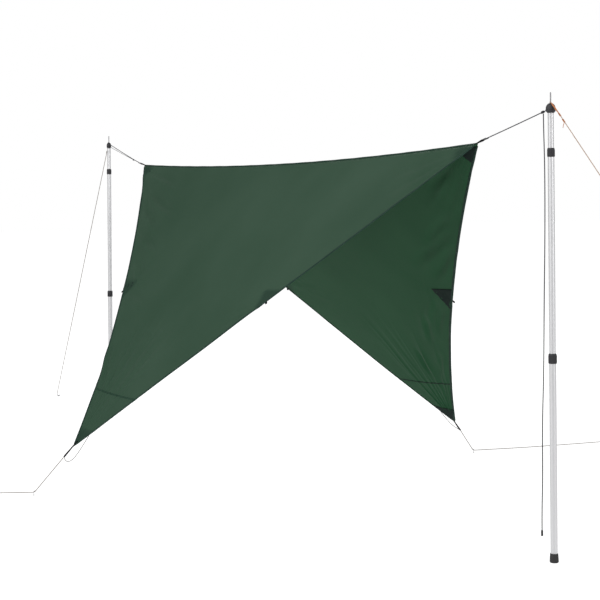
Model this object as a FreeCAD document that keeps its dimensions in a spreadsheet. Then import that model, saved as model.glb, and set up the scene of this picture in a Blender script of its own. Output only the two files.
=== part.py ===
import FreeCAD, Part

import math
import os

Vector = FreeCAD.Vector
doc = FreeCAD.newDocument("TarpShelter")

# Driving dimensions, in millimetres and degrees. +X runs along the ridge, +Y across it, +Z up.
sizes = {
    "poleSpan": 2789.0,  # centre line of each pole from the origin along the ridge
    "ridgePlace": 60.0,  # the ridge and both poles stand this far to +Y of the origin
    "lowerRadius": 16.5,
    "middleRadius": 15.0,
    "upperRadius": 13.5,
    "wallThickness": 1.2,
    "footHeight": 42.0,
    "footRadius": 21.0,
    "lowerTop": 930.0,
    "middleBottom": 600.0,
    "middleTop": 1872.0,
    "upperBottom": 1150.0,
    "upperTop": 2055.0,
    "lowCollarBottom": 909.0,
    "lowCollarHeight": 46.0,
    "lowCollarRadius": 19.0,
    "highCollarBottom": 1854.0,
    "highCollarHeight": 41.0,
    "highCollarRadius": 17.0,
    "collarGap": 0.3,
    "nearHeadRadius": 22.8,
    "farHeadRadius": 17.5,
    "headBottom": 2055.0,
    "headHeight": 46.0,
    "plugDepth": 30.0,
    "shankRadius": 4.0,  # the part of the spike inside the head
    "spikeRadius": 3.0,
    "spikeTipHeight": 3.0,
    "spikeTop": 2150.0,
    "colletHeight": 34.0,
    "fabricThickness": 1.5,
    "bindingWidth": 16.0,
    "strapWidth": 14.0,
    "strapThickness": 2.0,
    "headCord": 5.0,
    "guyCord": 4.0,
    "tipCord": 4.0,
    "loopCord": 3.0,
    "pegWire": 5.0,
}
sheet = doc.addObject("Spreadsheet::Sheet", "Sizes")
for row, (name, value) in enumerate(sizes.items(), start=1):
    sheet.set("A%d" % row, name)
    sheet.set("B%d" % row, str(value))
    sheet.setAlias("B%d" % row, name)
doc.recompute()


def size(name):
    return float(sheet.get(name))


nodes = []


def keep(piece, label):
    piece.Label = label
    nodes.append(piece)
    return piece


def bind(piece, **expressions):
    for name, expression in expressions.items():
        piece.setExpression(name, expression)


def feature(label, shape):
    piece = doc.addObject("Part::Feature", label)
    piece.Shape = shape
    return keep(piece, label)


def cell(expression):
    """Puts the sheet's name before each alias in an expression."""
    words = expression.split(" ")
    return " ".join("Sizes." + word if word in sizes else word for word in words)


def cylinder(label, radius, low, height, place):
    rod = doc.addObject("Part::Cylinder", label)
    bind(rod, Radius=cell(radius), Height=cell(height))
    bind(rod, **{"Placement.Base.z": cell(low)})
    bind(rod, **{"Placement.Base.x": cell("poleSpan * %d" % place)})
    bind(rod, **{"Placement.Base.y": cell("ridgePlace")})
    return rod


def pipe(label, radius, bore, low, height, place):
    outer = cylinder(label + "Outer", radius, low, height, place)
    inner = cylinder(label + "Inner", bore, low, height, place)
    cut = doc.addObject("Part::Cut", label + "Cut")
    cut.Base = outer
    cut.Tool = inner
    return keep(cut, label)


def origin_plane(body, role):
    return next(item for item in body.Origin.OriginFeatures if item.Role == role)


def turned_body(label, outline, place, low):
    """A PartDesign body turned about its own Z axis from an outline of (radius, height)."""
    body = doc.addObject("PartDesign::Body", label)
    sketch = body.newObject("Sketcher::SketchObject", label + "Outline")
    sketch.AttachmentSupport = (origin_plane(body, "XZ_Plane"), [""])
    sketch.MapMode = "FlatFace"
    corners = [Vector(radius, height, 0) for radius, height in outline]
    for start, end in zip(corners, corners[1:] + corners[:1]):
        sketch.addGeometry(Part.LineSegment(start, end), False)
    doc.recompute()
    turn = body.newObject("PartDesign::Revolution", label + "Turn")
    turn.Profile = sketch
    turn.ReferenceAxis = (sketch, ["V_Axis"])
    turn.Angle = 360
    bind(body, **{"Placement.Base.x": cell("poleSpan * %d" % place)})
    bind(body, **{"Placement.Base.y": cell("ridgePlace")})
    bind(body, **{"Placement.Base.z": cell(low)})
    return keep(body, label)


def dome(radius, height, bore, steps=6):
    """Outline of a round-topped head, narrower below its middle, with a hole for its spike."""
    shoulder = height * 0.42
    top_angle = math.radians(72.0)
    outline = [(bore, 0.0), (radius * 0.66, 0.0), (radius * 0.95, height * 0.15),
               (radius, height * 0.24), (radius, shoulder)]
    for step in range(1, steps + 1):
        angle = top_angle * step / steps
        outline.append((radius * math.cos(angle), shoulder + (height - shoulder) * math.sin(angle)))
    outline.append((bore, height))
    return outline


# Poles: three tubes that telescope, two twist-lock collars, a round head with its spike, and a foot.
for side, place in (("near", 1), ("far", -1)):
    wall = "wallThickness"
    pipe(side + "_lower_tube", "lowerRadius", "lowerRadius - " + wall,
         "footHeight - 30", "lowerTop - footHeight + 30", place)
    pipe(side + "_middle_tube", "middleRadius", "middleRadius - " + wall,
         "middleBottom", "middleTop - middleBottom", place)
    pipe(side + "_upper_tube", "upperRadius", "upperRadius - " + wall,
         "upperBottom", "upperTop - upperBottom", place)
    pipe(side + "_lower_collet", "lowerRadius - %s - 0.1" % wall, "middleRadius + 0.02",
         "lowerTop - colletHeight - 2", "colletHeight", place)
    pipe(side + "_upper_collet", "middleRadius - %s - 0.1" % wall, "upperRadius + 0.02",
         "middleTop - colletHeight - 2", "colletHeight", place)

    for name, tube, inner, key, top in (
        ("lower_collar", "lowerRadius", "middleRadius", "lowCollar", "lowerTop"),
        ("upper_collar", "middleRadius", "upperRadius", "highCollar", "middleTop"),
    ):
        gap = size("collarGap")
        low = size(key + "Bottom")
        tall = size(key + "Height")
        wide = size(key + "Radius")
        step = size(top) - low + 1.0
        bore = size(tube) + gap
        throat = size(inner) + gap
        turned_body("%s_%s" % (side, name), [
            (bore, 0.0), (wide - 1.0, 0.0), (wide, 2.0), (wide, tall - 5.0),
            (wide - 2.0, tall), (throat, tall), (throat, step), (bore, step),
        ], place, key + "Bottom")

    turned_body(side + "_head", dome(size(side + "HeadRadius"), size("headHeight"), size("shankRadius")),
                place, "headBottom")
    shank = cylinder(side + "SpikeShank", "shankRadius", "headBottom", "headHeight", place)
    pin = cylinder(side + "SpikePin", "spikeRadius", "headBottom + headHeight",
                   "spikeTop - spikeTipHeight - headBottom - headHeight", place)
    tip = doc.addObject("Part::Cone", side + "SpikeTip")
    bind(tip, Radius1=cell("spikeRadius"), Radius2=cell("spikeRadius * 0.4"), Height=cell("spikeTipHeight"))
    bind(tip, **{"Placement.Base.z": cell("spikeTop - spikeTipHeight")})
    bind(tip, **{"Placement.Base.x": cell("poleSpan * %d" % place)})
    bind(tip, **{"Placement.Base.y": cell("ridgePlace")})
    whole = doc.addObject("Part::MultiFuse", side + "SpikeWhole")
    whole.Shapes = [shank, pin, tip]
    keep(whole, side + "_spike")
    plug = cylinder(side + "Plug", "upperRadius - %s" % wall, "upperTop - plugDepth", "plugDepth", place)
    keep(plug, side + "_head_plug")
    foot_radius = size("footRadius")
    bore = size("lowerRadius")
    turned_body(side + "_foot", [
        (0.0, 0.0), (foot_radius - 3.0, 0.0), (foot_radius, 4.0), (foot_radius - 1.0, 26.0),
        (bore + 2.2, size("footHeight")), (bore, size("footHeight")), (bore, 12.0), (0.0, 12.0),
    ], place, "footHeight - %s" % size("footHeight"))

# Canopy: a square sheet hung from two opposite corners, so a ridge and two three-cornered wings.
ridge_y = size("ridgePlace")
corner_far = Vector(-2071, ridge_y, 1911)
corner_near = Vector(2206, ridge_y, 1935)
ridge_sag = 48.0
thickness = size("fabricThickness")
wings = {
    "near": {"tip": Vector(117, -1292, 265), "back": 0.132, "front": 0.060, "belly": 18.0,
             "side": -1, "seam": 0.820, "middles": (0.495, 0.478)},
    "far": {"tip": Vector(117, 1306, 207), "back": -0.08, "front": 0.115, "belly": 8.0,
            "side": 1, "seam": 0.838, "middles": (0.512, 0.492)},
}
for wing in wings.values():
    across = (corner_near - corner_far).cross(wing["tip"] - corner_far)
    across.normalize()
    wing["out"] = across if across.z > 0 else across * -1.0


def ridge_point(along):
    point = corner_far + (corner_near - corner_far) * along
    return point - Vector(0, 0, 4.0 * ridge_sag * along * (1.0 - along))


def wing_point(wing, along, down, lift=0.0):
    """A point of a wing: along runs from the back edge to the front edge, down from the ridge to the tip."""
    inner = wing["back"] * down
    spread = 1.0 - (wing["back"] + wing["front"]) * down
    top = ridge_point(inner + along * spread) + Vector(0, wing["side"] * 1.2, 0)
    point = top * (1.0 - down) + wing["tip"] * down
    belly = 4.0 * wing["belly"] * down * (1.0 - down)
    return point + wing["out"] * (lift - belly)


def skin(points, direction):
    """A thin solid: a smooth face through a grid of points, pushed along direction."""
    surface = Part.BSplineSurface()
    surface.interpolate(points)
    return surface.toShape().extrude(direction)


def wing_solid(wing, along, down, lift, thick, across=9, deep=7):
    """A piece of a wing between two values of along and of down, or with functions for along."""
    low, high = along
    grid = []
    for i in range(deep):
        depth = down[0] + (down[1] - down[0]) * i / (deep - 1)
        left = low(depth) if callable(low) else low
        right = high(depth) if callable(high) else high
        row = [wing_point(wing, left + (right - left) * j / (across - 1), depth, lift) for j in range(across)]
        grid.append(row)
    return skin(grid, wing["out"] * thick)


tip_end = 0.995


def edge_share(width, depth):
    """The share of a wing's width at this depth that a strip of the given width takes."""
    whole = (corner_near - corner_far).Length * (1.0 - depth) * 0.7
    return width / max(whole, width * 2.2)


for side, wing in wings.items():
    seam = wing["seam"]
    feature(side + "_wing_panel", wing_solid(wing, (0.0, 1.0), (0.0, seam), 0.0, thickness, 13, 9))
    feature(side + "_corner_panel", wing_solid(wing, (0.0, 1.0), (seam, tip_end), 0.0, thickness, 5, 5))
    width = size("bindingWidth")
    above = thickness + 0.4
    last = 0.975
    feature(side + "_back_binding", wing_solid(
        wing, (0.0, lambda depth: edge_share(width, depth)), (0.012, last), above, 1.2, 2, 15))
    feature(side + "_front_binding", wing_solid(
        wing, (lambda depth: 1.0 - edge_share(width, depth), 1.0), (0.012, last), above, 1.2, 2, 15))

# Ridge tape: an inverted V that follows the sagging ridge.
leg = 14.0
tape_lift = 5.4
tape_thick = 1.8
tape_end = 0.012
tape_spans = 12


def tape_section(along):
    base = ridge_point(along) + Vector(0, 0, tape_lift)
    near_down = (wings["near"]["tip"] - base)
    far_down = (wings["far"]["tip"] - base)
    near_down = Vector(0, near_down.y, near_down.z)
    far_down = Vector(0, far_down.y, far_down.z)
    near_down.normalize()
    far_down.normalize()
    rise = Vector(0, 0, tape_thick)
    loop = [base, base + near_down * leg, base + near_down * leg + rise, base + rise,
            base + far_down * leg + rise, base + far_down * leg]
    return Part.makePolygon(loop + [loop[0]])


tape_places = [tape_end + (1 - 2 * tape_end) * i / tape_spans for i in range(tape_spans + 1)]
feature("ridge_tape", Part.makeLoft([tape_section(along) for along in tape_places], True, False))

# Reinforcing patches lie under the fabric, at each corner and at the middle of each edge.
patch_drop = -1.8
patch_thick = 1.2
patch_rim = 0.012  # how far a patch stops short of the ridge, as a share of the wing
patch_deep = 0.040
patch_wide = 0.045
tip_patch_top = 0.930
tip_patch_low = 0.985
for side, wing in wings.items():
    def far_limit(depth):
        return patch_wide * (1.0 - (depth - patch_rim) / patch_deep) + patch_rim

    def near_limit(depth):
        return 1.0 - far_limit(depth)

    low = patch_rim + patch_deep
    feature(side + "_wing_far_patch", wing_solid(
        wing, (0.002, far_limit), (patch_rim, low), patch_drop, patch_thick, 4, 4))
    feature(side + "_wing_near_patch", wing_solid(
        wing, (near_limit, 0.998), (patch_rim, low), patch_drop, patch_thick, 4, 4))
    feature(side + "_tip_patch", wing_solid(
        wing, (0.03, 0.97), (tip_patch_top, tip_patch_low), patch_drop, patch_thick, 4, 4))

patch_solids = []
patch_inset = 0.004
patch_reach = 0.100
patch_above = 0.042  # how far a patch runs up and down its edge, as shares of the wing
patch_below = 0.036
for wing in wings.values():
    for middle, at_front in zip(wing["middles"], (False, True)):
        outer = 1.0 - patch_inset if at_front else patch_inset
        inner = 1.0 - patch_reach if at_front else patch_reach
        corners = [wing_point(wing, outer, middle - patch_above, patch_drop),
                   wing_point(wing, inner, middle - patch_above, patch_drop),
                   wing_point(wing, outer, middle + patch_below, patch_drop)]
        face = Part.Face(Part.makePolygon(corners + [corners[0]]))
        patch_solids.append(face.extrude(wing["out"] * patch_thick))
feature("edge_patches", Part.makeCompound(patch_solids))


def bar(start, end, width, thick, flat):
    """A flat strap from start to end, its width lying along flat as nearly as it can."""
    along = end - start
    length = along.Length
    along.normalize()
    thin = along.cross(flat)
    thin.normalize()
    wide = thin.cross(along)
    corner = start - wide * (width / 2) - thin * (thick / 2)
    points = [corner, corner + wide * width, corner + wide * width + thin * thick, corner + thin * thick]
    face = Part.Face(Part.makePolygon(points + [points[0]]))
    return face.extrude(along * length)


def rod(start, end, radius):
    return Part.makeCylinder(radius, (end - start).Length, start, end - start)


# Webbing at the corners.
wide = size("strapWidth")
thick = size("strapThickness")
tip_near = Vector(117, -1348, 212)
tip_far = Vector(117, 1347, 151)
end_far = Vector(-2138, ridge_y, 1924)
end_near = Vector(2256, ridge_y, 1951)
along_x = Vector(1, 0, 0)
along_y = Vector(0, 1, 0)


def strap_start(wing, end):
    tip = wing_point(wing, 0.5, tip_end, thickness / 2)
    step = end - tip
    step.normalize()
    return tip + step * 0.6


feature("near_tip_strap", bar(strap_start(wings["near"], tip_near), tip_near, wide, thick, along_x))
feature("far_tip_strap", bar(strap_start(wings["far"], tip_far), tip_far, wide, thick, along_x))
feature("far_ridge_strap", bar(corner_far + Vector(-1, 0, 0), end_far, wide, thick, along_y))
feature("near_ridge_strap", bar(corner_near + Vector(1, 0, 0), end_near, wide, thick, along_y))


def ladder(centre, along, wide_way, length, width, thick):
    """A flat buckle with two slots, square to the line it pulls along."""
    along = Vector(along)
    along.normalize()
    side = Vector(wide_way)
    up = along.cross(side)
    up.normalize()
    frame = FreeCAD.Placement(centre, FreeCAD.Rotation(along, side, up, "XYZ"))
    plate = Part.makeBox(length, width, thick, Vector(-length / 2, -width / 2, -thick / 2))
    for place in (-1, 1):
        slot = Part.makeBox(length * 0.22, width * 0.7, thick * 2,
                            Vector(place * length * 0.24 - length * 0.11, -width * 0.35, -thick))
        plate = plate.cut(slot)
    plate.Placement = frame
    return plate


buckle_length = 28.0
head_gap = 0.2
lug_length = 9.0
head_side_far = Vector(-size("poleSpan") + size("farHeadRadius") - 1.0 + head_gap, ridge_y, 2085)
lug_end = Vector(-size("poleSpan") + size("farHeadRadius") + lug_length, ridge_y, 2064)
join_far = Vector(-2282, ridge_y, 1954)
pull_far = end_far - join_far
pull_far.normalize()
buckle_far = end_far - pull_far * (buckle_length / 2)
head_side_near = Vector(size("poleSpan") - size("nearHeadRadius") - head_gap, ridge_y, 2070.5)
pull_near = end_near - head_side_near
pull_near.normalize()
buckle_near = end_near - pull_near * (buckle_length / 2)
feature("ridge_buckles", Part.makeCompound([
    ladder(buckle_far, pull_far, along_y, buckle_length, 20.0, 3.0),
    ladder(buckle_near, pull_near, along_y, buckle_length, 20.0, 3.0),
]))

# Small webbing loops at the middle of each edge.
loops = []
loop_radius = 9.0
loop_wire = 1.5
loop_gap = 1.6
for wing in wings.values():
    for middle, at_front in zip(wing["middles"], (False, True)):
        place = 1.0 if at_front else 0.0
        centre = wing_point(wing, place, middle, 0.4)
        edge_way = wing_point(wing, place, middle + 0.01, 0.4) - wing_point(wing, place, middle - 0.01, 0.4)
        outward = edge_way.cross(wing["out"])
        outward.normalize()
        if outward.dot(centre - wing_point(wing, 0.5, middle, 0.4)) < 0:
            outward = outward * -1.0
        ring = Part.makeTorus(loop_radius, loop_wire, Vector(0, 0, 0), Vector(0, 0, 1))
        sideways = wing["out"].cross(outward)
        ring.Placement = FreeCAD.Placement(centre + outward * (loop_radius + loop_wire + loop_gap),
                                           FreeCAD.Rotation(outward, sideways, wing["out"], "XYZ"))
        loops.append(ring)
feature("edge_loops", Part.makeCompound(loops))


def cord(label, points, diameter):
    """A round cord: straight runs joined by arcs that are tangent to both."""
    radius = diameter / 2
    parts = []
    last = points[0]
    radii = []
    for before, here, after in zip(points, points[1:], points[2:]):
        run_in = here - before
        run_out = after - here
        short = min(run_in.Length, run_out.Length)
        turn = run_in.getAngle(run_out)
        bend = 0.45 * short / math.tan(turn / 2)
        cut = 0.45 * short
        run_in.normalize()
        run_out.normalize()
        start = here - run_in * cut
        end = here + run_out * cut
        middle_way = run_out - run_in
        middle_way.normalize()
        centre = here + middle_way * math.hypot(bend, cut)
        halfway = centre - middle_way * bend
        radii.append(round(bend, 1))
        parts.append(Part.LineSegment(last, start).toShape())
        parts.append(Part.Arc(start, halfway, end).toShape())
        last = end
    parts.append(Part.LineSegment(last, points[-1]).toShape())
    path = Part.Wire(parts)
    circle = Part.Wire(Part.makeCircle(radius, points[0], points[1] - points[0]))
    if len(points) == 2:
        solid = rod(points[0], points[1], radius)
    else:
        pipe_shell = Part.BRepOffsetAPI.MakePipeShell(path)
        pipe_shell.add(circle)
        pipe_shell.setTransitionMode(1)
        pipe_shell.build()
        pipe_shell.makeSolid()
        solid = pipe_shell.shape()
    volume = math.pi * radius * radius * path.Length
    share = abs(solid.Volume) / volume
    print("cord %s: length %.0f, radii %s, volume share %.4f" % (label, path.Length, radii, share))
    if abs(share - 1.0) > 0.01:
        raise ValueError("the tube of %s doesn't hold its route" % label)
    return feature(label, solid)


# Lines between the pole heads and the ridge corners.
head_cord = size("headCord")
lock_length = 22.0
near_lock = head_side_near + pull_near * 28.0
cord("near_head_line", [head_side_near, buckle_near - pull_near * (buckle_length / 2)], head_cord)
feature("far_lug", rod(lug_end - along_x * (lug_length + 1.0), lug_end, 4.0))
cord("far_head_line", [head_side_far, join_far, buckle_far - pull_far * (buckle_length / 2)], head_cord)
second_end = join_far + (lug_end - join_far) * 0.06
cord("far_second_line", [lug_end, second_end], size("loopCord"))
feature("line_locks", Part.makeCompound([
    rod(near_lock, near_lock + pull_near * lock_length, 6.5),
    rod(join_far - pull_far * 12.0, join_far - pull_far * 12.0 + pull_far * lock_length, 6.5),
]))

# The spare end of the near line hangs beside the pole.
tail_top = near_lock + pull_near * 11.0 - Vector(0, 0, 6.5)
tail = [
    tail_top,
    Vector(tail_top.x + 1.0, 60, 1990),
    Vector(2742, 60, 1795),
    Vector(2736, 62, 1480),
    Vector(2731, 58, 1180),
    Vector(2721, 61, 880),
    Vector(2708, 59, 600),
    Vector(2705, 62, 380),
    Vector(2699, 60, 205),
    Vector(2698, 61, 130),
]
cord("near_line_tail", tail, head_cord)
feature("tail_stopper", rod(Vector(2698, 61, 104), Vector(2698, 61, 130), 5.0))

# Guylines from each head to a peg, and the lines that hold the wings' tips down.
guy = size("guyCord")
span = size("poleSpan")
near_peg = Vector(4474, 410, 22)
near_guy = [Vector(2790.3, 53.6, 2103.7), Vector(2798.2, 55.2, 2102.9), Vector(2805.8, 57.0, 2096.9), near_peg]
far_peg = Vector(-4040, 60, 22)
far_guy_top = Vector(-span - size("farHeadRadius") - 1.2, 60, 2070)
cord("near_guyline", near_guy, guy)
cord("far_guyline", [far_guy_top, far_peg], guy)
cord("near_tip_line", [tip_near, Vector(45, -1496, 18), Vector(-84, -1668, 9), Vector(-112, -1705, 9)],
     size("tipCord"))
cord("far_tip_line", [tip_far, Vector(112, 1446, 16), Vector(176, 1930, 8), Vector(240, 2445, 10)],
     size("tipCord"))
near_side = wings["near"]
far_side = wings["far"]
cord("near_tip_loop", [tip_near + Vector(9, 0, 3), Vector(140, -1344, 190), Vector(170, -1322, 196),
                       Vector(184, -1284, 240), wing_point(near_side, 1.0, 0.955, -3.0)], size("loopCord"))
cord("far_tip_loop", [tip_far + Vector(-9, 0, 3), Vector(92, 1344, 160), Vector(66, 1326, 176),
                      Vector(44, 1300, 206), wing_point(far_side, 0.0, 0.962, -3.0)], size("loopCord"))

near_way = near_peg - near_guy[2]
near_way.normalize()
far_way = far_peg - far_guy_top
far_way.normalize()
tensioner = 26.0
near_from = 92.0  # the tensioner's distance down each line
far_from = 40.0
feature("guy_tensioners", Part.makeCompound([
    rod(near_guy[2] + near_way * near_from, near_guy[2] + near_way * (near_from + tensioner), 6.0),
    rod(far_guy_top + far_way * far_from, far_guy_top + far_way * (far_from + tensioner), 6.0),
]))

# Pegs: the part of each that stands above the ground, a stem with a hook over the line.
wire = size("pegWire") / 2
places = {
    "near_guy": (Vector(4474, 410, 0), Vector(-1668, -353, 0), 22.0),
    "far_guy": (Vector(-4040, 60, 0), Vector(1, 0, 0), 22.0),
    "near_tip": (Vector(45, -1496, 0), Vector(0.3, 1, 0), 18.0),
    "near_end": (Vector(-112, -1705, 0), Vector(0.6, 1, 0), 9.0),
    "far_tip": (Vector(112, 1446, 0), Vector(0, -1, 0), 16.0),
    "far_end": (Vector(240, 2445, 0), Vector(-0.1, -1, 0), 10.0),
}
pegs = []
hook_rise = 12.0
hook_reach = 18.0
hook_drop = 7.0
disc_radius = 9.0
disc_thick = 2.0
for base, away, height in places.values():
    out = Vector(away)
    out.normalize()
    foot = base - out * (hook_reach / 2)
    stem_top = foot + Vector(0, 0, height + hook_rise)
    hook_end = stem_top + out * hook_reach
    stem = rod(foot, stem_top, wire)
    hook = rod(stem_top, hook_end, wire)
    down = rod(hook_end, hook_end - Vector(0, 0, hook_drop), wire)
    knee = Part.makeSphere(wire, stem_top)
    elbow = Part.makeSphere(wire, hook_end)
    disc = Part.makeCylinder(disc_radius, disc_thick, foot, Vector(0, 0, 1))
    pegs.append(stem.multiFuse([hook, knee, down, elbow, disc]).removeSplitter())
feature("ground_pegs", Part.makeCompound(pegs))

doc.recompute()
bad = [item.Name for item in doc.Objects if "Invalid" in item.State or "Error" in item.State]
for piece in nodes:
    shape = piece.Shape
    if shape.isNull() or not shape.isValid() or not shape.Solids or shape.Volume <= 0:
        bad.append(piece.Label)
if bad:
    raise ValueError("these pieces failed: %s" % ", ".join(sorted(set(bad))))

os.makedirs("parts", exist_ok=True)
for piece in nodes:
    piece.Shape.exportStep("parts/%s.step" % piece.Label)
body_box = FreeCAD.BoundBox()
for piece in nodes:
    box = piece.Shape.BoundBox
    if "line" not in piece.Label and "loop" not in piece.Label and "peg" not in piece.Label:
        body_box.add(box)
print("nodes %d, box without lines X %.0f %.0f, Y %.0f %.0f, Z %.1f %.1f" % (
    len(nodes), body_box.XMin, body_box.XMax, body_box.YMin, body_box.YMax, body_box.ZMin, body_box.ZMax))
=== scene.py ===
import math
import bpy
import bmesh
from mathutils import Vector, Matrix, noise


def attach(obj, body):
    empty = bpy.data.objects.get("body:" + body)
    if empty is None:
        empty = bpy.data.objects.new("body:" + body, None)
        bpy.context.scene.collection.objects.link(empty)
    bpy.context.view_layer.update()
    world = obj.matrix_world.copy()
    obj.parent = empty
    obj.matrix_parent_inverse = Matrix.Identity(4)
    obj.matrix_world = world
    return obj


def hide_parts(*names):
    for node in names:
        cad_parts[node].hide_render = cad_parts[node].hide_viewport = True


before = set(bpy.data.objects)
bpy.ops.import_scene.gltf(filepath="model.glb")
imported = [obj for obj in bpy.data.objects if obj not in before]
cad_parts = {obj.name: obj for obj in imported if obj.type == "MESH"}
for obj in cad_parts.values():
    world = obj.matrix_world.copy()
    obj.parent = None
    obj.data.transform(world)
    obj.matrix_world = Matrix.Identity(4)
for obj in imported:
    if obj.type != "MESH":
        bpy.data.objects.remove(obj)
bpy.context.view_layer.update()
noise.seed_set(7)
print("frame loaded,", len(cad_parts), "nodes")


def keepMesh(name, vertices, faces, material, smooth=True):
    mesh = bpy.data.meshes.new(name)
    mesh.from_pydata([tuple(v) for v in vertices], [], faces)
    mesh.update()
    if smooth:
        mesh.polygons.foreach_set("use_smooth", [True] * len(mesh.polygons))
    piece = bpy.data.objects.new(name, mesh)
    bpy.context.collection.objects.link(piece)
    if material:
        mesh.materials.append(material)
    return piece


def mixValue(low, high, share):
    return low + (high - low) * share


def smoothStep(low, high, value):
    share = min(1.0, max(0.0, (value - low) / (high - low)))
    return share * share * (3 - 2 * share)


def baked(piece):
    # the evaluated shape as a plain mesh, with no modifier left
    graph = bpy.context.evaluated_depsgraph_get()
    mesh = bpy.data.meshes.new_from_object(piece.evaluated_get(graph))
    piece.modifiers.clear()
    piece.data = mesh
    return piece


def gridFaces(rows, columns, roundRows=False, roundColumns=False):
    # four-sided faces between the points of a grid, which may close on itself either way
    faces = []
    for i in range(rows if roundRows else rows - 1):
        for j in range(columns if roundColumns else columns - 1):
            n = (i + 1) % rows
            k = (j + 1) % columns
            faces.append((i * columns + j, i * columns + k, n * columns + k, n * columns + j))
    return faces


def faceOutward(piece, merge=None):
    # turn every face outward, after merging points that lie closer together than merge
    tidy = bmesh.new()
    tidy.from_mesh(piece.data)
    if merge:
        bmesh.ops.remove_doubles(tidy, verts=tidy.verts, dist=merge)
    bmesh.ops.recalc_face_normals(tidy, faces=tidy.faces)
    tidy.to_mesh(piece.data)
    tidy.free()
    return piece


def settle(piece, slot, *nodes, body="shelter"):
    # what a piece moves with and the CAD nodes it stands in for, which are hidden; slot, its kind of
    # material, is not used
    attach(piece, body)
    if nodes:
        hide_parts(*nodes)
    return piece


def newNodes(tree, *kinds):
    return [tree.nodes.new(kind) for kind in kinds]


def linkAll(tree, *pairs):
    for source, target in pairs:
        tree.links.new(source, target)


def newGroup(name, inputs, outputs, kind="ShaderNodeTree"):
    group = bpy.data.node_groups.new(name, kind)
    for socketName, socketKind, default in inputs:
        socket = group.interface.new_socket(socketName, in_out="INPUT", socket_type=socketKind)
        if default is not None:
            socket.default_value = default
    for socketName, socketKind in outputs:
        group.interface.new_socket(socketName, in_out="OUTPUT", socket_type=socketKind)
    start, end = newNodes(group, "NodeGroupInput", "NodeGroupOutput")
    return group, start, end


def useTree(piece, tree, values):
    # run a Geometry Nodes tree with its inputs set by name, and keep the plain mesh
    modifier = piece.modifiers.new(tree.name, "NODES")
    modifier.node_group = tree
    for item in tree.interface.items_tree:
        if item.item_type == "SOCKET" and item.in_out == "INPUT" and item.name in values:
            modifier[item.identifier] = values[item.name]
    return baked(piece)


def mathNode(tree, operation, first, second=None):
    node = tree.nodes.new("ShaderNodeMath")
    node.operation = operation
    for socket, value in zip(node.inputs, (first, second)):
        if isinstance(value, (int, float)):
            socket.default_value = value
        elif value is not None:
            tree.links.new(value, socket)
    return node.outputs[0]


def splitVector(tree, vector):
    node = tree.nodes.new("ShaderNodeSeparateXYZ")
    tree.links.new(vector, node.inputs[0])
    return node.outputs


def waveNode(tree, value, pitch):
    # a sine along a value, one whole wave for each pitch
    waves = mathNode(tree, "DIVIDE", value, pitch)
    return mathNode(tree, "SINE", mathNode(tree, "MULTIPLY", waves, math.tau))


def blendNode(tree, first, firstShare, second, secondShare):
    return mathNode(tree, "ADD", mathNode(tree, "MULTIPLY", first, firstShare),
                    mathNode(tree, "MULTIPLY", second, secondShare))


def ripstopGroup():
    # plain weave with a heavier thread every few millimetres, both ways
    group, start, end = newGroup(
        "ripstopWeave",
        [("Vector", "NodeSocketVector", None), ("Thread", "NodeSocketFloat", 0.0009),
         ("Grid", "NodeSocketFloat", 0.0055)],
        [("Height", "NodeSocketFloat"), ("Grid", "NodeSocketFloat")])
    turn = group.nodes.new("ShaderNodeMapping")
    turn.inputs["Rotation"].default_value = (0, 0, math.radians(45))
    group.links.new(start.outputs["Vector"], turn.inputs["Vector"])
    place = splitVector(group, turn.outputs[0])
    threads, grids = [], []
    for axis in (0, 1):
        threads.append(waveNode(group, place[axis], start.outputs["Thread"]))
        saw = mathNode(group, "FRACT", mathNode(group, "DIVIDE", place[axis], start.outputs["Grid"]))
        away = mathNode(group, "ABSOLUTE", mathNode(group, "SUBTRACT", saw, 0.5))
        grids.append(mathNode(group, "LESS_THAN", away, 0.09))
    weave = mathNode(group, "MULTIPLY", *threads)
    heavy = mathNode(group, "MAXIMUM", *grids)
    height = mathNode(group, "ADD", mathNode(group, "MULTIPLY", weave, 0.3), heavy)
    linkAll(group, (height, end.inputs["Height"]), (heavy, end.inputs["Grid"]))
    return group


def webbingGroup():
    # ribs across a woven tape with a fine twill between them
    group, start, end = newGroup(
        "webbingRibs",
        [("Vector", "NodeSocketVector", None), ("Pitch", "NodeSocketFloat", 0.0016)],
        [("Height", "NodeSocketFloat")])
    place = splitVector(group, start.outputs["Vector"])
    waves = []
    for way in ("ADD", "SUBTRACT"):
        waves.append(waveNode(group, mathNode(group, way, place[0], place[1]), start.outputs["Pitch"]))
    group.links.new(mathNode(group, "MULTIPLY", *waves), end.inputs["Height"])
    return group


def braidGroup():
    # crossing strands of a braided cover, and where they stand highest, a mask for a painted highlight
    group, start, end = newGroup(
        "braidStrands",
        [("Vector", "NodeSocketVector", None), ("Strand", "NodeSocketFloat", 0.0022)],
        [("Height", "NodeSocketFloat"), ("Highlight", "NodeSocketFloat")])
    place = splitVector(group, start.outputs["Vector"])
    level = mathNode(group, "ADD", place[0], place[1])
    waves = []
    for way in (1.0, -1.0):
        slope = mathNode(group, "ADD", level, mathNode(group, "MULTIPLY", place[2], way))
        waves.append(waveNode(group, slope, start.outputs["Strand"]))
    crossing = mathNode(group, "MULTIPLY", *waves)
    highlight = mathNode(group, "GREATER_THAN", crossing, 0.45)
    linkAll(group, (crossing, end.inputs["Height"]), (highlight, end.inputs["Highlight"]))
    return group


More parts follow.
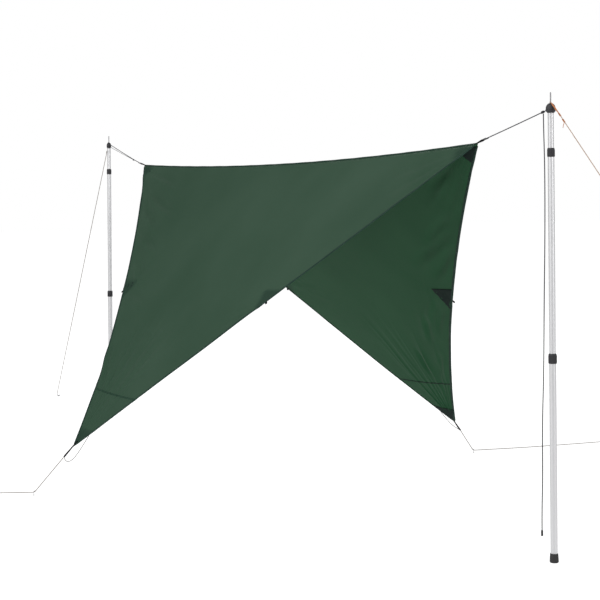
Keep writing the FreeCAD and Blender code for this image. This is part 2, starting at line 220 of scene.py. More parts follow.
def patchyGroup():
    # broad uneven tone with a finer mottle, from 0 to 1
    group, start, end = newGroup(
        "patchyTone",
        [("Vector", "NodeSocketVector", None), ("Broad", "NodeSocketFloat", 1.5),
         ("Fine", "NodeSocketFloat", 40.0)],
        [("Tone", "NodeSocketFloat"), ("Fine", "NodeSocketFloat")])
    broad, fine = newNodes(group, "ShaderNodeTexNoise", "ShaderNodeTexNoise")
    for node, name in ((broad, "Broad"), (fine, "Fine")):
        node.inputs["Detail"].default_value = 4
        linkAll(group, (start.outputs["Vector"], node.inputs["Vector"]),
                (start.outputs[name], node.inputs["Scale"]))
    tone = blendNode(group, broad.outputs[0], 0.7, fine.outputs[0], 0.3)
    linkAll(group, (tone, end.inputs["Tone"]), (fine.outputs[0], end.inputs["Fine"]))
    return group


ripstop = ripstopGroup()
webbing = webbingGroup()
braid = braidGroup()
patchy = patchyGroup()


def startMaterial(name, coordinates="Object"):
    material = bpy.data.materials.new(name)
    material.use_nodes = True
    tree = material.node_tree
    shader = tree.nodes["Principled BSDF"]
    place = tree.nodes.new("ShaderNodeTexCoord")
    return material, tree, shader, place.outputs[coordinates]


def useGroup(tree, group, vector, **values):
    node = tree.nodes.new("ShaderNodeGroup")
    node.node_tree = group
    tree.links.new(vector, node.inputs["Vector"])
    for name, value in values.items():
        node.inputs[name].default_value = value
    return node


def rampNode(tree, factor, stops):
    node = tree.nodes.new("ShaderNodeValToRGB")
    tree.links.new(factor, node.inputs[0])
    ramp = node.color_ramp
    while len(ramp.elements) < len(stops):
        ramp.elements.new(0.5)
    for element, (place, colour) in zip(ramp.elements, stops):
        element.position = place
        element.color = (*colour, 1)
    return node.outputs[0]


def bumpNode(tree, shader, height, strength, distance):
    node = tree.nodes.new("ShaderNodeBump")
    node.inputs["Strength"].default_value = strength
    node.inputs["Distance"].default_value = distance
    linkAll(tree, (height, node.inputs["Height"]), (node.outputs[0], shader.inputs["Normal"]))
    return node.outputs[0]


def mixColours(tree, factor, first, second, blend="MIX"):
    node = tree.nodes.new("ShaderNodeMix")
    node.data_type = "RGBA"
    node.blend_type = blend
    node.inputs["B"].default_value = (*second, 1)
    linkAll(tree, (factor, node.inputs["Factor"]), (first, node.inputs["A"]))
    return node.outputs["Result"]


def setFinish(tree, shader, colour, specular, tone, spread, roughness):
    # colour, specular level, and a roughness that rises with the tone
    rough = mathNode(tree, "ADD", mathNode(tree, "MULTIPLY", tone, spread), roughness)
    linkAll(tree, (colour, shader.inputs["Base Color"]), (rough, shader.inputs["Roughness"]))
    shader.inputs["Specular IOR Level"].default_value = specular


def fabricMaterial(name, dark, light, patchShade):
    through = 0.22
    material, tree, shader, uv = startMaterial(name, "UV")
    tone = useGroup(tree, patchy, uv, Broad=1.3, Fine=60.0)
    weave = useGroup(tree, ripstop, uv)
    colour = rampNode(tree, tone.outputs["Tone"], [(0.3, dark), (0.7, light)])
    patchShadeMask = tree.nodes.new("ShaderNodeAttribute")  # painted shade where a patch lies behind the cloth
    patchShadeMask.attribute_name = "patchShade"
    colour = mixColours(tree, patchShadeMask.outputs["Fac"], colour, patchShade)
    heavy = mathNode(tree, "MULTIPLY", weave.outputs["Grid"], 0.6)
    colour = mixColours(tree, heavy, colour, (0.86, 0.86, 0.86), "MULTIPLY")
    setFinish(tree, shader, colour, 0.10, tone.outputs["Fine"], 0.16, 0.56)
    bump = bumpNode(tree, shader, weave.outputs["Height"], 0.25, 0.00015)
    glow, mix = newNodes(tree, "ShaderNodeBsdfTranslucent", "ShaderNodeMixShader")
    mix.inputs[0].default_value = through
    linkAll(tree, (colour, glow.inputs["Color"]), (bump, glow.inputs["Normal"]),
            (shader.outputs[0], mix.inputs[1]), (glow.outputs[0], mix.inputs[2]),
            (mix.outputs[0], tree.nodes["Material Output"].inputs["Surface"]))
    return material


def tapeMaterial(name, dark, light, roughness, pitch=0.0016, strength=0.5):
    material, tree, shader, place = startMaterial(name)
    tone = useGroup(tree, patchy, place, Broad=14.0, Fine=300.0)
    ribs = useGroup(tree, webbing, place, Pitch=pitch)
    colour = rampNode(tree, tone.outputs["Tone"], [(0.3, dark), (0.72, light)])
    setFinish(tree, shader, colour, 0.05, tone.outputs["Fine"], 0.2, roughness)
    bumpNode(tree, shader, ribs.outputs["Height"], strength, 0.0003)
    return material


def cordMaterial(name, dark, light, highlight, strand=0.0022):
    material, tree, shader, place = startMaterial(name)
    cover = useGroup(tree, braid, place, Strand=strand)
    tone = useGroup(tree, patchy, place, Broad=9.0, Fine=400.0)
    plain = rampNode(tree, tone.outputs["Tone"], [(0.3, dark), (0.72, light)])
    # a lighter colour where the strands stand highest: a painted highlight
    share = mathNode(tree, "MULTIPLY", cover.outputs["Highlight"], 0.55)
    setFinish(tree, shader, mixColours(tree, share, plain, highlight), 0.15, tone.outputs["Fine"], 0.2, 0.6)
    bumpNode(tree, shader, cover.outputs["Height"], 0.6, 0.0005)
    return material


def plasticMaterial(name, dark, light, roughness, grain=900.0):
    material, tree, shader, place = startMaterial(name)
    tone = useGroup(tree, patchy, place, Broad=18.0, Fine=grain)
    colour = rampNode(tree, tone.outputs["Tone"], [(0.3, dark), (0.75, light)])
    setFinish(tree, shader, colour, 0.35, tone.outputs["Tone"], 0.24, roughness)
    bumpNode(tree, shader, tone.outputs["Fine"], 0.10, 0.0001)
    return material


def metalMaterial(name, dark, light, roughness, streak):
    # drawn metal: fine lines along the tube, a little duller where it is handled
    material, tree, shader, place = startMaterial(name)
    stretch, lines = newNodes(tree, "ShaderNodeMapping", "ShaderNodeTexNoise")
    stretch.inputs["Scale"].default_value = streak
    lines.inputs["Scale"].default_value = 1.0
    lines.inputs["Detail"].default_value = 5
    linkAll(tree, (place, stretch.inputs["Vector"]), (stretch.outputs[0], lines.inputs["Vector"]))
    tone = useGroup(tree, patchy, place, Broad=3.0, Fine=90.0)
    both = blendNode(tree, lines.outputs[0], 0.6, tone.outputs["Tone"], 0.4)
    colour = rampNode(tree, both, [(0.3, dark), (0.7, light)])
    setFinish(tree, shader, colour, 0.5, tone.outputs["Fine"], 0.06, roughness)
    shader.inputs["Metallic"].default_value = 0.9
    return material


# outer side: greyer green, partly the coating's own colour and partly a painted sheen; inner side: stronger
# green, partly the cloth's own colour and partly painted light shining through it
# the third colour of each fabric is its painted shade where a patch lies behind the cloth
outerFabric = fabricMaterial("outerFabric", (0.024, 0.058, 0.034), (0.038, 0.076, 0.049),
                             (0.012, 0.034, 0.022))
innerFabric = fabricMaterial("innerFabric", (0.009, 0.062, 0.023), (0.017, 0.084, 0.034),
                             (0.006, 0.026, 0.015))
edgeTape = tapeMaterial("edgeTape", (0.012, 0.030, 0.022), (0.020, 0.042, 0.032), 0.6)
seamTape = tapeMaterial("seamTape", (0.012, 0.034, 0.021), (0.019, 0.046, 0.030), 0.6)
# a darker copy of the seam tape for the under side: painted shade
seamShade = tapeMaterial("seamShade", (0.005, 0.019, 0.011), (0.009, 0.028, 0.017), 0.6)
patchCloth = tapeMaterial("patchCloth", (0.007, 0.014, 0.012), (0.013, 0.021, 0.018), 0.7, 0.0011, 0.2)
blackTape = tapeMaterial("blackTape", (0.004, 0.004, 0.005), (0.010, 0.010, 0.011), 0.7, 0.0018, 0.3)
threadBlack = tapeMaterial("threadBlack", (0.010, 0.016, 0.013), (0.020, 0.028, 0.024), 0.7, 0.0006, 0.3)
# the last colour of each cord is its painted highlight on the raised strands
orangeCord = cordMaterial("orangeCord", (0.36, 0.125, 0.048), (0.45, 0.17, 0.070), (0.48, 0.30, 0.18))
brownCord = cordMaterial("brownCord", (0.28, 0.19, 0.135), (0.36, 0.25, 0.185), (0.44, 0.36, 0.30))
loopCord = cordMaterial("loopCord", (0.022, 0.016, 0.013), (0.038, 0.028, 0.022), (0.07, 0.055, 0.045))
paleCord = cordMaterial("paleCord", (0.085, 0.062, 0.046), (0.13, 0.098, 0.074), (0.20, 0.16, 0.12))
greyCord = cordMaterial("greyCord", (0.016, 0.016, 0.018), (0.032, 0.032, 0.036), (0.11, 0.11, 0.12), 0.0026)
charcoal = plasticMaterial("charcoal", (0.013, 0.013, 0.015), (0.024, 0.024, 0.027), 0.52)
blackPlastic = plasticMaterial("blackPlastic", (0.008, 0.008, 0.009), (0.018, 0.018, 0.019), 0.38)
footRubber = plasticMaterial("footRubber", (0.014, 0.014, 0.014), (0.024, 0.024, 0.024), 0.62, 500.0)
naturalNylon = plasticMaterial("naturalNylon", (0.50, 0.49, 0.45), (0.60, 0.59, 0.55), 0.4)
satinTube = metalMaterial("satinTube", (0.52, 0.52, 0.53), (0.60, 0.60, 0.61), 0.42, (90, 90, 0.4))
platedSteel = metalMaterial("platedSteel", (0.20, 0.20, 0.21), (0.30, 0.30, 0.31), 0.34, (300, 300, 4))

nodeFinish = {
    "tube": satinTube, "collar": charcoal, "head": charcoal, "foot": footRubber,
    "collet": naturalNylon, "spike": platedSteel, "plug": naturalNylon,
}
for nodeName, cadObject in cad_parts.items():
    found = next((finish for word, finish in nodeFinish.items() if nodeName.endswith(word)), blackPlastic)
    if cadObject.material_slots:
        for materialSlot in cadObject.material_slots:
            materialSlot.material = found
    else:
        cadObject.data.materials.append(found)
print("materials ready")

canopy = {
    "cornerFar": Vector((-2.071, 0.060, 1.911)),
    "cornerNear": Vector((2.206, 0.060, 1.935)),
    "ridgeSag": 0.049,
    "alongSteps": 230,
    "downSteps": 92,
    "tipEnd": 0.9992,
    "cloth": 0.0009,
    "lift": 0.0008,  # the cloth lies in the middle of its solid
}
wings = {
    "near": {"tip": Vector((0.117, -1.292, 0.265)), "side": -1, "back": 0.132, "front": 0.060,
             "belly": 0.018, "seam": (0.820, 0.822), "middles": (0.495, 0.478)},
    "far": {"tip": Vector((0.117, 1.306, 0.207)), "side": 1, "back": -0.08, "front": 0.115,
            "belly": 0.008, "seam": (0.847, 0.827), "middles": (0.512, 0.492)},
}
ridgeRun = canopy["cornerNear"] - canopy["cornerFar"]
for wing in wings.values():
    across = ridgeRun.cross(wing["tip"] - canopy["cornerFar"]).normalized()
    wing["out"] = across if across.z > 0 else -across
    foot = canopy["cornerFar"] + ridgeRun * 0.5
    down = wing["tip"] - foot
    wing["height"] = (down - ridgeRun.normalized() * down.dot(ridgeRun.normalized())).length


def ridgePoint(along):
    drop = 4 * canopy["ridgeSag"] * along * (1 - along)
    return canopy["cornerFar"] + ridgeRun * along - Vector((0, 0, drop))


def hangShare(wing, along, down):
    # the place on the ridge that a point of the hollow-edged wing hangs from
    return wing["back"] * down + along * (1 - (wing["back"] + wing["front"]) * down)


def flatPlace(wing, along, down):
    # where a point of the wing lies on the flat sheet: metres along the ridge and across it
    place = (hangShare(wing, along, down) - 0.5) * ridgeRun.length * (1 - down)
    return Vector((place, wing["side"] * wing["height"] * down))


# fans of tension folds: wing, centre on the flat sheet, way they open and spread in degrees,
# how many, height and reach in metres
foldWords = ("wing", "centre", "way", "spread", "count", "height", "reach")
folds = [dict(zip(foldWords, fold)) for fold in (
    ("near", (-2.12, 0.0), -38, 34, 9, 0.0050, 1.00),
    ("near", (-1.02, -1.10), -72, 42, 8, 0.0060, 0.85),
    ("near", (-1.02, -1.10), 40, 36, 6, 0.0036, 0.60),
    ("near", (0.0, -2.10), 98, 34, 9, 0.0052, 1.05),
    ("near", (2.12, 0.0), -148, 28, 7, 0.0030, 0.80),
    ("near", (1.06, -1.04), 215, 40, 6, 0.0040, 0.55),
    ("far", (2.12, 0.0), 140, 34, 9, 0.0052, 1.15),
    ("far", (1.02, 1.10), 105, 44, 9, 0.0060, 0.90),
    ("far", (1.02, 1.10), -150, 36, 6, 0.0034, 0.60),
    ("far", (0.0, 2.10), -82, 40, 10, 0.0058, 1.00),
    ("far", (-2.12, 0.0), 38, 30, 7, 0.0040, 0.90),
    ("far", (-1.06, 1.04), -20, 46, 7, 0.0036, 0.55),
)]
foldGain = 4.2
# single creases: start and end as (along, down), height and half width in metres
creases = {
    "near": [((0.036, 0.045), (0.148, 0.102), 0.012, 0.023), ((0.031, 0.130), (0.169, 0.217), 0.015, 0.024),
             ((0.023, 0.196), (0.090, 0.269), 0.013, 0.022), ((0.035, 0.290), (0.141, 0.356), 0.013, 0.024),
             ((0.030, 0.400), (0.110, 0.455), 0.011, 0.022), ((0.049, 0.510), (0.202, 0.547), 0.012, 0.024),
             ((0.080, 0.800), (0.010, 0.690), 0.009, 0.020), ((0.200, 0.798), (0.090, 0.685), 0.009, 0.020),
             ((0.371, 0.803), (0.228, 0.689), 0.007, 0.022)],
    "far": [((0.851, 0.354), (0.971, 0.240), 0.009, 0.028), ((0.885, 0.285), (0.961, 0.210), 0.008, 0.025),
            ((0.917, 0.400), (0.984, 0.312), 0.009, 0.026), ((0.924, 0.499), (0.885, 0.600), 0.009, 0.024),
            ((0.954, 0.521), (0.914, 0.615), 0.008, 0.022), ((0.898, 0.106), (0.950, 0.071), 0.006, 0.022),
            ((0.860, 0.560), (0.835, 0.660), 0.008, 0.024), ((0.720, 0.790), (0.690, 0.690), 0.008, 0.024),
            ((0.860, 0.800), (0.900, 0.700), 0.008, 0.022)],
}


creaseOver = 0.15  # how far a crease runs past its ends, as a share of its length


def creaseHeight(side, place):
    # a ridge along each crease, dying away to its ends, with a shallow dip beside it
    total = 0.0
    for start, end, height, half in creases[side]:
        first, last = flatPlace(wings[side], *start), flatPlace(wings[side], *end)
        run = last - first
        share = (place - first).dot(run) / run.length_squared
        if share < -creaseOver or share > 1 + creaseOver:
            continue
        bend = 0.25 * half * math.sin(share * 5.0 + start[1] * 40)
        away = (run.x * (place.y - first.y) - run.y * (place.x - first.x)) / run.length + bend
        taper = smoothStep(-creaseOver, 0.3, share) * (1 - smoothStep(0.6, 1 + creaseOver, share))
        ridge = math.exp(-(away / half) ** 2)
        dip = 0.5 * math.exp(-((away - 1.8 * half) / half) ** 2)
        total += height * taper * (ridge - dip)
    return total


def foldHeight(side, place):
    # the sum of the fans at a point of the flat sheet, in metres
    total = 0.0
    for number, fold in enumerate(folds):
        if fold["wing"] != side:
            continue
        offset = place - Vector(fold["centre"])
        reach = offset.length
        if reach > fold["reach"] or reach < 1e-4:
            continue
        turn = math.degrees(math.atan2(offset.y, offset.x)) - fold["way"]
        turn = (turn + 180) % 360 - 180
        if abs(turn) > fold["spread"]:
            continue
        edge = 1 - smoothStep(0.55, 1.0, abs(turn) / fold["spread"])
        outward = reach / fold["reach"]
        fade = smoothStep(0.0, 0.16, outward) * (1 - smoothStep(0.35, 1.0, outward))
        wander = 0.5 * noise.noise(Vector((reach * 2.2, number * 3.7, turn * 0.05)))
        phase = (turn / fold["spread"] + 1) * 0.5 * fold["count"] + wander
        own = 0.55 + 0.45 * noise.noise(Vector((math.floor(phase) * 1.7, number, 4.0)))
        crest = abs(noise.noise(Vector((phase * 1.15, number * 5.3, reach * 0.9)))) ** 0.8
        total += fold["height"] * foldGain * own * edge * fade * (crest - 0.3)
    broad = noise.noise(Vector((place.x * 1.3, place.y * 1.3, 2.0))) * 0.0035
    fine = noise.noise(Vector((place.x * 5.0, place.y * 5.0, 9.0))) * 0.0009
    return total + broad + fine


def seamPlace(side, along):
    # how far down the wing the seam of its corner panel lies
    first, last = wings[side]["seam"]
    return mixValue(first, last, along)


def seamPucker(place, down, seam):
    # small puckers that die away either side of a sewn seam
    away = abs(down - seam)
    return 0.0010 * math.exp(-(away / 0.012) ** 2) * math.sin(place.x * 150 + 3 * math.sin(place.x * 31))


def wingPoint(side, along, down, lift=0.0, folded=True):
    wing = wings[side]
    aside = wing["side"] * 0.0012 * smoothStep(0, 0.002, down)  # off the ridge line, to its own side
    top = ridgePoint(hangShare(wing, along, down)) + Vector((0, aside, 0))
    point = top * (1 - down) + wing["tip"] * down
    height = lift - 4 * wing["belly"] * down * (1 - down)
    if folded:
        place = flatPlace(wing, along, down)
        hold = smoothStep(0.0, 0.03, down) * (1 - smoothStep(0.95, 0.985, down))
        folding = foldHeight(side, place) + creaseHeight(side, place)
        height += (folding + seamPucker(place, down, seamPlace(side, along))) * hold
    return point + wing["out"] * height


def rowShare(step, steps):
    return canopy["tipEnd"] * step / steps


def triangleMask(along, down, first, second, third, soft=0.006):
    # 1 inside a triangle on the wing, fading at its rim
    least = 1.0
    for a, b, c in ((first, second, third), (second, third, first), (third, first, second)):
        run = Vector(b) - Vector(a)
        side = run.x * (down - a[1]) - run.y * (along - a[0])
        inward = run.x * (c[1] - a[1]) - run.y * (c[0] - a[0])
        least = min(least, side * (1 if inward > 0 else -1) / run.length / soft)
    return min(1.0, max(0.0, least))


def middleShape(middle, atFront):
    # a three-cornered patch at the middle of an edge, as (along, down)
    edge, way = (1.0, -1) if atFront else (0.0, 1)
    return [(edge + way * 0.003, middle - 0.041), (edge + way * 0.100, middle - 0.043),
            (edge + way * 0.003, middle + 0.036)]


def patchShadeShare(side, along, down):
    # painted shade on the cloth of a wing where the patches lie behind it
    share = smoothStep(0.940, 0.947, down)
    for middle, atFront in zip(wings[side]["middles"], (False, True)):
        share = max(share, triangleMask(along, down, *middleShape(middle, atFront)))
    share = max(share, triangleMask(along, down, (0.0, 0.0), (0.045, 0.010), (0.004, 0.052)))
    share = max(share, triangleMask(along, down, (1.0, 0.0), (0.960, 0.010), (0.996, 0.052)))
    return share * (0.75 if side == "near" else 0.4)


def makeCanopy():
    steps, downs = canopy["alongSteps"], canopy["downSteps"]
    rows = [("near", rowShare(i, downs)) for i in range(downs, 0, -1)]
    rows += [("ridge", 0.0)] + [("far", rowShare(i, downs)) for i in range(1, downs + 1)]
    vertices, flat, patchShading = [], [], []
    for side, down in rows:
        for j in range(steps + 1):
            along = j / steps
            if side == "ridge":
                vertices.append(ridgePoint(along) + Vector((0, 0, canopy["lift"])))
                flat.append(((along - 0.5) * ridgeRun.length, 0.0))
                patchShading.append(0.0)
            else:
                vertices.append(wingPoint(side, along, down, canopy["lift"]))
                flat.append(tuple(flatPlace(wings[side], along, down)))
                patchShading.append(patchShadeShare(side, along, down))
    piece = keepMesh("canopySheet", vertices, gridFaces(len(rows), steps + 1), outerFabric)
    piece.data.materials.append(innerFabric)
    layer = piece.data.uv_layers.new(name="flatCut")
    for loop in piece.data.loops:
        layer.data[loop.index].uv = flat[loop.vertex_index]
    # painted shade on the sheet where patches lie behind it, read by the fabric's colour
    piece.data.attributes.new("patchShade", "FLOAT", "POINT").data.foreach_set("value", patchShading)
    wall = piece.modifiers.new("cloth", "SOLIDIFY")
    wall.thickness = canopy["cloth"]
    wall.offset = -1
    wall.material_offset = 1
    return baked(piece)


canopySheet = settle(makeCanopy(), "fabric", "near_wing_panel", "far_wing_panel", "near_corner_panel",
                     "far_corner_panel")
print("canopy made")


def edgeShare(width, down):
    # a width in metres as a share of the wing's run at this height, kept small near the tip
    whole = ridgeRun.length * (1 - down) * 0.7
    return width / max(whole, width * 2.2)


def strip(name, rings, material):
    # a long strip from rings of points, each ring closed round the strip's section
    count = len(rings[0])
    vertices = [point for ring in rings for point in ring]
    faces = gridFaces(len(rings), count, roundColumns=True)
    faces.append(tuple(reversed(range(count))))
    faces.append(tuple(range((len(rings) - 1) * count, len(rings) * count)))
    return faceOutward(keepMesh(name, vertices, faces, material))


binding = {"width": 0.012, "steps": 170, "first": 0.008, "last": 0.990, "thick": 0.0009, "swell": 0.0004,
           "rim": 0.0030}


def makeBinding(side, atFront):
    # tape folded round the raw edge: over the top, round the edge and back under
    edge, way = (1.0, -1.0) if atFront else (0.0, 1.0)
    thick = binding["thick"]
    top = canopy["lift"] + binding["swell"]
    low = canopy["lift"] - canopy["cloth"] - binding["swell"]
    rings = []
    for i in range(binding["steps"] + 1):
        down = mixValue(binding["first"], binding["last"], i / binding["steps"])
        share = way * edgeShare(binding["width"], down)
        rim = edge - way * edgeShare(binding["rim"], down)
        section = [(edge + share, top), (edge + share, top + thick), (edge + share * 0.3, top + thick * 1.3),
                   (rim, top + thick * 0.5), (rim, low - thick * 0.5),
                   (edge + share * 0.3, low - thick * 1.3), (edge + share, low - thick), (edge + share, low)]
        rings.append([wingPoint(side, along, down, height) for along, height in section])
    end = "front" if atFront else "back"
    piece = strip(side + end.title() + "Binding", rings, edgeTape)
    settle(piece, "binding", "%s_%s_binding" % (side, end))


for side in wings:
    for atFront in (False, True):
        makeBinding(side, atFront)

ridgeTape = {"leg": 0.0075, "thick": 0.0010, "lift": 0.0022, "steps": 160, "start": 0.004, "ripple": 0.0003}


def makeRidgeTape():
    rings = []
    for i in range(ridgeTape["steps"] + 1):
        along = ridgeTape["start"] + (1 - 2 * ridgeTape["start"]) * i / ridgeTape["steps"]
        base = ridgePoint(along) + Vector((0, 0, ridgeTape["lift"]))
        legs = []
        for side in ("near", "far"):
            slope = wings[side]["tip"] - base
            slope = Vector((0, slope.y, slope.z)).normalized()
            legs.append((base + slope * ridgeTape["leg"], base + slope * ridgeTape["leg"] * 0.45))
        rise = Vector((0, 0, ridgeTape["thick"] + ridgeTape["ripple"] * math.sin(along * 900)))
        rings.append([legs[0][0], legs[0][0] + rise, legs[0][1] + rise * 1.2, base + rise * 1.3,
                      legs[1][1] + rise * 1.2, legs[1][0] + rise, legs[1][0], base])
    settle(strip("ridgeTapeStrip", rings, edgeTape), "binding", "ridge_tape")


makeRidgeTape()

seamStrip = {"half": 0.0026, "thick": 0.0006, "steps": 90, "start": 0.006, "gap": 0.0002}


def makeSeam(side, top):
    # the flat felled seam where the corner panel is sewn on
    rings = []
    half = seamStrip["half"]
    base = canopy["lift"] + seamStrip["gap"] if top else canopy["lift"] - canopy["cloth"] - seamStrip["gap"]
    away = base + (seamStrip["thick"] if top else -seamStrip["thick"])
    for i in range(seamStrip["steps"] + 1):
        along = seamStrip["start"] + (1 - 2 * seamStrip["start"]) * i / seamStrip["steps"]
        middle = seamPlace(side, along)
        section = [(-half, base), (-half * 0.8, away), (half * 0.8, away), (half, base)]
        rings.append([wingPoint(side, along, middle + shift, height) for shift, height in section])
    # the under side's seam takes the darker copy of the tape, a painted shade
    piece = strip("%sSeam%s" % (side, "Top" if top else "Under"), rings, seamTape if top else seamShade)
    settle(piece, "binding")


for side in wings:
    for top in (True, False):
        makeSeam(side, top)

under = {"lift": -0.0014, "thick": 0.0009, "steps": 14}  # how the patches lie under the cloth


def patchPiece(name, side, corners, *nodes):
    # a piece of cloth under a wing, between four corners given as (along, down)
    steps = under["steps"]
    count = steps + 1
    corners = [Vector(corner) for corner in corners]
    vertices = []
    for layer in (0, 1):
        for i in range(count):
            for j in range(count):
                left = corners[0].lerp(corners[3], i / steps)
                right = corners[1].lerp(corners[2], i / steps)
                along, down = left.lerp(right, j / steps)
                atRim = min(i, j, steps - i, steps - j) == 0
                height = under["lift"] + layer * under["thick"] * (0.6 if atRim else 1.0)
                vertices.append(wingPoint(side, along, down, height))
    faces = gridFaces(count, count)
    faces += [tuple(corner + count * count for corner in face) for face in faces]
    border = [(0, j) for j in range(steps)] + [(i, steps) for i in range(steps)]
    border += [(steps, j) for j in range(steps, 0, -1)] + [(i, 0) for i in range(steps, 0, -1)]
    for (i, j), (k, l) in zip(border, border[1:] + border[:1]):
        first, second = i * count + j, k * count + l
        faces.append((first, second, second + count * count, first + count * count))
    piece = faceOutward(keepMesh(name, vertices, faces, patchCloth), 1e-6)
    settle(piece, "patch", *nodes)


cornerShapes = {
    "Far": [(0.003, 0.008), (0.040, 0.010), (0.024, 0.032), (0.003, 0.052)],
    "Near": [(0.960, 0.010), (0.997, 0.008), (0.997, 0.052), (0.976, 0.032)],
}
tipShape = [(0.02, 0.940), (0.98, 0.940), (0.94, 0.992), (0.06, 0.992)]
for side in wings:
    for end, corners in cornerShapes.items():
        patchPiece("%s%sCornerPatch" % (side, end), side, corners, "%s_wing_%s_patch" % (side, end.lower()))
    patchPiece(side + "TipPatch", side, tipShape, side + "_tip_patch")

edgeMiddles = [(side, middle, edge) for side in wings for middle, edge in zip(wings[side]["middles"], (0, 1))]
for number, (side, middle, edge) in enumerate(edgeMiddles):
    top, inner, low = middleShape(middle, edge == 1)
    if side == "far" and edge == 0:
        inner = (0.030, inner[1])  # only a narrow one shows at this edge
    shape = [top, inner, tuple((Vector(inner) + Vector(low)) / 2), low]
    nodes = ["edge_patches"] if number == 0 else []
    patchPiece("middlePatch%d" % number, side, shape, *nodes)
print("tapes and patches made")

strapShape = {"width": 0.013, "thick": 0.0016}
tabShape = {"width": 0.010, "thick": 0.0014, "gap": 0.0016, "inward": 0.012, "outward": 0.022}


def tapeAlong(name, points, flat, width, thick, material):
    # a flat tape through points, its width along flat
    rings = []
    for i, point in enumerate(points):
        before = points[max(i - 1, 0)]
        after = points[min(i + 1, len(points) - 1)]
        along = (after - before).normalized()
        thin = along.cross(flat).normalized()
        wide = thin.cross(along).normalized()
        ring = []
        for a, b in ((-0.5, -0.35), (-0.42, -0.5), (0.42, -0.5), (0.5, -0.35),
                     (0.5, 0.35), (0.42, 0.5), (-0.42, 0.5), (-0.5, 0.35)):
            ring.append(point + wide * (a * width) + thin * (b * thick))
        rings.append(ring)
    return strip(name, rings, material)


def doubleTape(start, end, flat, gap, count=14):
    # down one side, round a small eye and back, as a sewn loop of webbing is
    along = (end - start).normalized()
    thin = along.cross(flat).normalized()
    eye = end - along * 0.006
    half = strapShape["thick"] * 0.55
    out, back, turn = [], [], []
    for i in range(count + 1):
        share = i / count
        spread = gap * smoothStep(0.35, 0.9, share) + half
        point = start.lerp(eye, share)
        out.append(point + thin * spread)
        back.append(point - thin * spread)
    for i in range(1, 8):
        angle = math.pi * i / 8
        radius = gap + half
        turn.append(eye + thin * (radius * math.cos(angle)) + along * (radius * math.sin(angle)))
    return out + turn + back[::-1]


tipNear = Vector((0.117, -1.348, 0.212))
tipFar = Vector((0.117, 1.347, 0.151))
strapEndNear = Vector((2.256, 0.060, 1.951))
strapEndFar = Vector((-2.138, 0.060, 1.924))
tipStart = {side: wingPoint(side, 0.5, canopy["tipEnd"] - 0.020, canopy["lift"] + 0.0016) for side in wings}
straps = {  # start, end, way its width lies, and half the opening of its eye
    "near_tip_strap": (tipStart["near"], tipNear, Vector((1, 0, 0)), 0.0014),
    "far_tip_strap": (tipStart["far"], tipFar, Vector((1, 0, 0)), 0.0014),
    "far_ridge_strap": (Vector((-2.045, 0.060, 1.9085)), strapEndFar, Vector((0, 1, 0)), 0.0022),
    "near_ridge_strap": (Vector((2.180, 0.060, 1.9305)), strapEndNear, Vector((0, 1, 0)), 0.0022),
}
for node, (start, end, flat, gap) in straps.items():
    side, corner, _ = node.split("_")
    piece = tapeAlong(side + corner.title() + "Webbing", doubleTape(start, end, flat, gap), flat,
                      strapShape["width"], strapShape["thick"], blackTape)
    settle(piece, "webbing", node)

for number, (side, middle, edge) in enumerate(edgeMiddles):
    # a small tape loop that stands out from the middle of each edge
    base = wingPoint(side, edge, middle, 0.0)
    normal = wings[side]["out"]
    edgeWay = wingPoint(side, edge, middle + 0.01, 0.0) - wingPoint(side, edge, middle - 0.01, 0.0)
    outward = edgeWay.cross(normal).normalized()
    if outward.dot(base - wingPoint(side, 0.5, middle, 0.0)) < 0:
        outward = -outward
    flat = normal.cross(outward).normalized()
    loop = doubleTape(base - outward * tabShape["inward"], base + outward * tabShape["outward"], flat,
                      tabShape["gap"], 10)
    piece = tapeAlong("edgeTab%d" % number, loop, flat, tabShape["width"], tabShape["thick"], blackTape)
    nodes = ["edge_loops"] if number == 0 else []
    settle(piece, "webbing", *nodes)
print("webbing made")


def cordPiece(name, points, diameter, material):
    curve = bpy.data.curves.new(name, "CURVE")
    curve.dimensions = "3D"
    curve.bevel_depth = diameter / 2
    curve.bevel_resolution = 4
    curve.resolution_u = 12
    curve.use_fill_caps = True
    spline = curve.splines.new("NURBS")
    spline.points.add(len(points) - 1)
    for target, point in zip(spline.points, points):
        target.co = (*point, 1)
    spline.order_u = 3
    spline.use_endpoint_u = True
    piece = bpy.data.objects.new(name, curve)
    bpy.context.collection.objects.link(piece)
    curve.materials.append(material)
    return piece


def splineLength(piece):
    # how long the cord's middle line is
    plain = piece.copy()
    plain.data = piece.data.copy()
    plain.data.bevel_depth = 0
    bpy.context.collection.objects.link(plain)
    bpy.context.view_layer.update()
    mesh = bpy.data.meshes.new_from_object(plain.evaluated_get(bpy.context.evaluated_depsgraph_get()))
    bpy.data.objects.remove(plain)
    points = [v.co for v in mesh.vertices]
    return sum((b - a).length for a, b in zip(points, points[1:]))


def helixPoints(start, along, radius, turns, length, perTurn=12):
    side = along.cross(Vector((0, 0, 1))).normalized()
    other = along.cross(side).normalized()
    points = []
    for i in range(int(turns * perTurn) + 1):
        share = i / (turns * perTurn)
        angle = math.tau * turns * share
        points.append(start + along * (length * share)
                      + side * (radius * math.cos(angle)) + other * (radius * math.sin(angle)))
    return points


